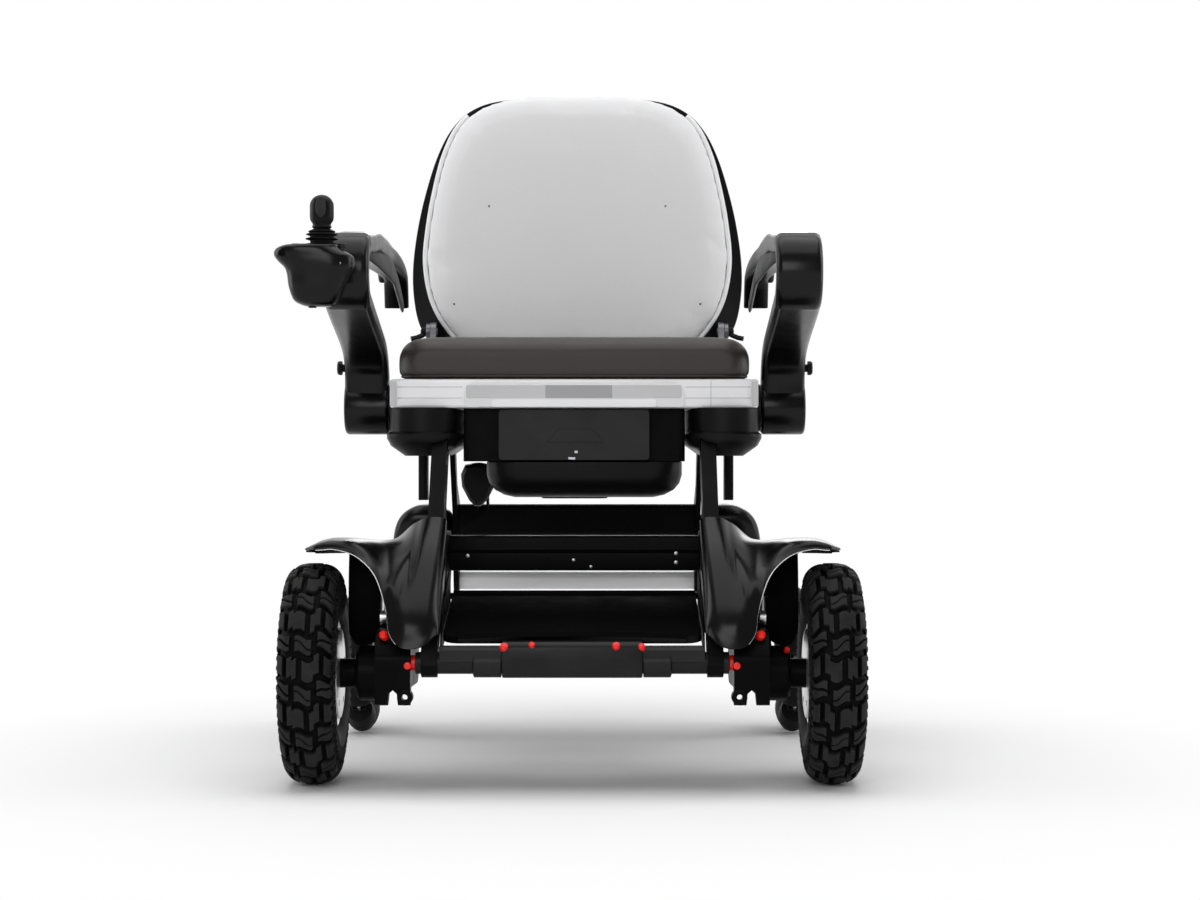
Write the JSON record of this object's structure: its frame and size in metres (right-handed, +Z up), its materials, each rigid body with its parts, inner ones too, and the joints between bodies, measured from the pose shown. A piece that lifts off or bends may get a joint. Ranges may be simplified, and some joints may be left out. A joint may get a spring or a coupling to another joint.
{
  "type": "folding power wheelchair",
  "caption": "Folding power wheelchair with block tread drive wheels, omni rear wheels, shrouded front legs, padded seat and back, curled armrests and a joystick.",
  "frame": {"origin": "on the floor under the middle of the chair's bounding box", "axes": "+Z up, the chair faces -Y, +X is the seated user's left"},
  "size_m": [0.665, 0.7533, 0.8653],
  "materials": {
    "white_paint": "satin white coating",
    "black_plastic": "satin black moulding",
    "dark_plastic": "dark grey moulding",
    "dark_metal": "black powder coat on alloy",
    "silver_metal": "bright anodised alloy",
    "grey_gloss": "glossy light grey",
    "tyre_rubber": "dull black rubber",
    "brown_leather": "dark brown cover",
    "pale_fabric": "light grey mesh fabric",
    "red_plastic": "red bearing plastic"
  },
  "bodies": {
    "seat": {"seat_frame": "white_paint", "seat_front_panel": "grey_gloss", "seat_pan": "dark_metal", "seat_cushion": "brown_leather", "side_housing_left": "black_plastic", "side_housing_right": "black_plastic", "underseat_housing": "black_plastic", "control_pod": "dark_plastic", "arm_hinge_left": "dark_metal", "arm_hinge_right": "dark_metal", "back_hinge_left": "silver_metal", "back_hinge_right": "silver_metal"},
    "battery": {"battery_pack": "dark_plastic"},
    "front_frame": {"front_leg_left": "dark_metal", "front_leg_right": "dark_metal", "fender_shroud_left": "black_plastic", "fender_shroud_right": "black_plastic", "front_crossbeam": "black_plastic", "pivot_tube": "dark_metal", "bumper_sleeve": "dark_plastic", "pivot_bushing_left": "red_plastic", "pivot_bushing_right": "red_plastic"},
    "footplate": {"footplate": "black_plastic"},
    "swing_arm_left": {"swing_arm_left": "dark_metal", "drive_motor_left": "dark_metal"},
    "swing_arm_right": {"swing_arm_right": "dark_metal", "drive_motor_right": "dark_metal"},
    "front_wheel_left": {"front_tyre_left": "tyre_rubber", "front_rim_left": "silver_metal"},
    "front_wheel_right": {"front_tyre_right": "tyre_rubber", "front_rim_right": "silver_metal"},
    "shock_left": {"shock_body_left": "dark_metal"},
    "shock_right": {"shock_body_right": "dark_metal"},
    "shock_rod_left": {"shock_rod_left": "silver_metal"},
    "shock_rod_right": {"shock_rod_right": "silver_metal"},
    "rear_frame": {"rear_leg_left": "dark_metal", "rear_leg_right": "dark_metal", "rear_crossbar": "black_plastic", "rear_cross_tube": "silver_metal", "rear_arm_left": "black_plastic", "rear_arm_right": "black_plastic"},
    "rear_wheel_left": {"omni_wheel_left": "dark_plastic"},
    "rear_wheel_right": {"omni_wheel_right": "dark_plastic"},
    "actuator": {"fold_motor": "black_plastic"},
    "actuator_rod": {"fold_rod": "silver_metal"},
    "backrest": {"back_shell": "black_plastic", "back_pad": "pale_fabric", "push_handle": "black_plastic"},
    "recline_lever_left": {"recline_lever_left": "dark_plastic"},
    "recline_lever_right": {"recline_lever_right": "dark_plastic"},
    "armrest_left": {"armrest_left": "black_plastic"},
    "armrest_right": {"armrest_right": "black_plastic", "joystick_pod": "dark_plastic"},
    "arm_lock_left": {"arm_lock_knob_left": "dark_plastic"},
    "arm_lock_right": {"arm_lock_knob_right": "dark_plastic"},
    "joystick_gimbal": {"joystick_boot": "black_plastic"},
    "joystick_stick": {"joystick_stick": "dark_plastic"},
    "power_button": {"power_button": "dark_plastic"},
    "speed_button": {"speed_button": "dark_plastic"}
  },
  "joints": [
    {"name": "front_fold", "type": "hinge", "parent": "seat", "child": "front_frame", "pos_m": [0, -0.1305, 0.4], "axis": [1, 0, 0], "range_deg": [0, 27]},
    {"name": "rear_fold", "type": "hinge", "parent": "seat", "child": "rear_frame", "pos_m": [0, 0.1095, 0.4], "axis": [1, 0, 0], "range_deg": [-10, 0]},
    {"name": "actuator_tilt", "type": "hinge", "parent": "seat", "child": "actuator", "pos_m": [-0.124, 0.0495, 0.341], "axis": [1, 0, 0], "range_deg": [-7, 0]},
    {"name": "actuator_stroke", "type": "slide", "parent": "actuator", "child": "actuator_rod", "axis": [0, 0.9945, -0.1043], "range_m": [-0.0125, 0]},
    {"name": "footplate_flip", "type": "hinge", "parent": "front_frame", "child": "footplate", "pos_m": [0, -0.1305, 0.2085], "axis": [1, 0, 0], "range_deg": [-80, 0]},
    {"name": "swing_left", "type": "hinge", "parent": "front_frame", "child": "swing_arm_left", "pos_m": [0.1805, -0.3355, 0.146], "axis": [1, 0, 0], "range_deg": [0, 5], "stiffness_Nm_per_rad": 160, "springref_deg": -6.88},
    {"name": "swing_right", "type": "hinge", "parent": "front_frame", "child": "swing_arm_right", "pos_m": [-0.1805, -0.3355, 0.146], "axis": [1, 0, 0], "range_deg": [0, 5], "stiffness_Nm_per_rad": 160, "springref_deg": -6.88},
    {"name": "shock_tilt_left", "type": "hinge", "parent": "front_frame", "child": "shock_left", "pos_m": [0.218, -0.2385, 0.256], "axis": [1, 0, 0], "range_deg": [-6, 0]},
    {"name": "shock_tilt_right", "type": "hinge", "parent": "front_frame", "child": "shock_right", "pos_m": [-0.218, -0.2385, 0.256], "axis": [1, 0, 0], "range_deg": [-6, 0]},
    {"name": "shock_stroke_left", "type": "slide", "parent": "shock_left", "child": "shock_rod_left", "axis": [0, -0.3251, -0.9457], "range_m": [-0.005, 0]},
    {"name": "shock_stroke_right", "type": "slide", "parent": "shock_right", "child": "shock_rod_right", "axis": [0, -0.3251, -0.9457], "range_m": [-0.005, 0]},
    {"name": "drive_wheel_left", "type": "hinge", "parent": "swing_arm_left", "child": "front_wheel_left", "pos_m": [0.298, -0.2505, 0.127], "axis": [1, 0, 0], "continuous": true},
    {"name": "drive_wheel_right", "type": "hinge", "parent": "swing_arm_right", "child": "front_wheel_right", "pos_m": [-0.298, -0.2505, 0.127], "axis": [1, 0, 0], "continuous": true},
    {"name": "omni_spin_left", "type": "hinge", "parent": "rear_frame", "child": "rear_wheel_left", "pos_m": [0.292, 0.2775, 0.1], "axis": [1, 0, 0], "continuous": true},
    {"name": "omni_spin_right", "type": "hinge", "parent": "rear_frame", "child": "rear_wheel_right", "pos_m": [-0.292, 0.2775, 0.1], "axis": [1, 0, 0], "continuous": true},
    {"name": "battery_slide", "type": "slide", "parent": "seat", "child": "battery", "axis": [0, -1, 0], "range_m": [0, 0.1]},
    {"name": "backrest_fold", "type": "hinge", "parent": "seat", "child": "backrest", "pos_m": [0, 0.2795, 0.545], "axis": [1, 0, 0], "range_deg": [0, 90]},
    {"name": "recline_pull_left", "type": "hinge", "parent": "backrest", "child": "recline_lever_left", "pos_m": [0.2075, 0.2795, 0.545], "axis": [-1, 0, 0], "range_deg": [0, 30], "stiffness_Nm_per_rad": 0.1, "springref_deg": -17.19},
    {"name": "recline_pull_right", "type": "hinge", "parent": "backrest", "child": "recline_lever_right", "pos_m": [-0.2075, 0.2795, 0.545], "axis": [-1, 0, 0], "range_deg": [0, 30], "stiffness_Nm_per_rad": 0.1, "springref_deg": -17.19},
    {"name": "armrest_flip_left", "type": "hinge", "parent": "seat", "child": "armrest_left", "pos_m": [0.23, -0.0305, 0.436], "axis": [-1, 0, 0], "range_deg": [0, 60]},
    {"name": "armrest_flip_right", "type": "hinge", "parent": "seat", "child": "armrest_right", "pos_m": [-0.23, -0.0305, 0.436], "axis": [-1, 0, 0], "range_deg": [0, 60]},
    {"name": "arm_lock_press_left", "type": "slide", "parent": "armrest_left", "child": "arm_lock_left", "axis": [-1, 0, 0], "range_m": [0, 0.003], "stiffness_N_per_m": 400, "springref_m": -0.002},
    {"name": "arm_lock_press_right", "type": "slide", "parent": "armrest_right", "child": "arm_lock_right", "axis": [1, 0, 0], "range_m": [0, 0.003], "stiffness_N_per_m": 400, "springref_m": -0.002},
    {"name": "joystick_fore_aft", "type": "hinge", "parent": "armrest_right", "child": "joystick_gimbal", "pos_m": [-0.279, -0.349, 0.605], "axis": [1, 0, 0], "range_deg": [-14, 14], "stiffness_Nm_per_rad": 0.2},
    {"name": "joystick_sideways", "type": "hinge", "parent": "joystick_gimbal", "child": "joystick_stick", "pos_m": [-0.279, -0.349, 0.605], "axis": [0, 1, 0], "range_deg": [-14, 14], "stiffness_Nm_per_rad": 0.2},
    {"name": "power_press", "type": "slide", "parent": "armrest_right", "child": "power_button", "axis": [0, 0, -1], "range_m": [0, 0.0015], "stiffness_N_per_m": 300, "springref_m": -0.001},
    {"name": "speed_press", "type": "slide", "parent": "armrest_right", "child": "speed_button", "axis": [0, 0, -1], "range_m": [0, 0.0015], "stiffness_N_per_m": 300, "springref_m": -0.001}
  ],
  "couplings": [
    {"joint": "rear_fold", "follows": "front_fold", "ratio": -0.3685},
    {"joint": "actuator_tilt", "follows": "front_fold", "ratio": -0.2125},
    {"joint": "actuator_stroke", "follows": "front_fold", "m_per_rad": -0.0246},
    {"joint": "shock_tilt_left", "follows": "swing_left", "ratio": -1.07},
    {"joint": "shock_tilt_right", "follows": "swing_right", "ratio": -1.07},
    {"joint": "shock_stroke_left", "follows": "swing_left", "m_per_rad": -0.0515},
    {"joint": "shock_stroke_right", "follows": "swing_right", "m_per_rad": -0.0515}
  ]
}
